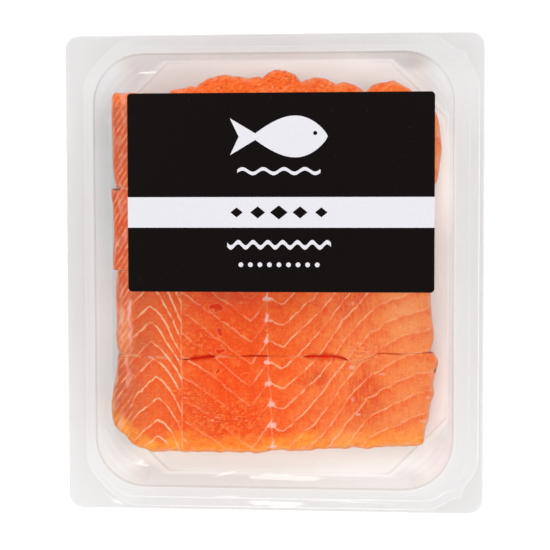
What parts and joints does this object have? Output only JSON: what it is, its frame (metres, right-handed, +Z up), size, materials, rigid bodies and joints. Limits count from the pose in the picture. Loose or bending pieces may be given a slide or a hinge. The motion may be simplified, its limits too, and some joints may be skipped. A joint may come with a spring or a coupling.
{
  "type": "sealed tray pack of raw salmon fillets",
  "caption": "Clear thermoformed tray with raw skin-on salmon portions lying side by side, sealed under a clear lid film that carries a plain dark label; lies flat on its base.",
  "frame": {"origin": "middle of the tray's flat base, at the bottom of the bounding box", "axes": "+Z up; +X from the thick back of the fish to its thin belly, across the tray; +Y along the tray's longer side, from the last portion to the first, towards the label"},
  "size_m": [0.2014, 0.23, 0.0325],
  "materials": {
    "clear_tray": "clear thermoformed plastic sheet, smooth and glossy, faintly grey at its bends",
    "clear_film": "thin clear lid film, taut and glossy",
    "label_paper": "smooth coated paper printed black with one white band, slightly satin",
    "salmon_flesh": "moist raw salmon flesh, orange with pale chevron lines between its flakes; silver-grey skin under it"
  },
  "bodies": {
    "root": {"tray": "clear_tray", "fillet_1": "salmon_flesh", "fillet_2": "salmon_flesh", "fillet_3": "salmon_flesh", "fillet_4": "salmon_flesh", "lid_film": "clear_film", "label": "label_paper"}
  },
  "joints": []
}
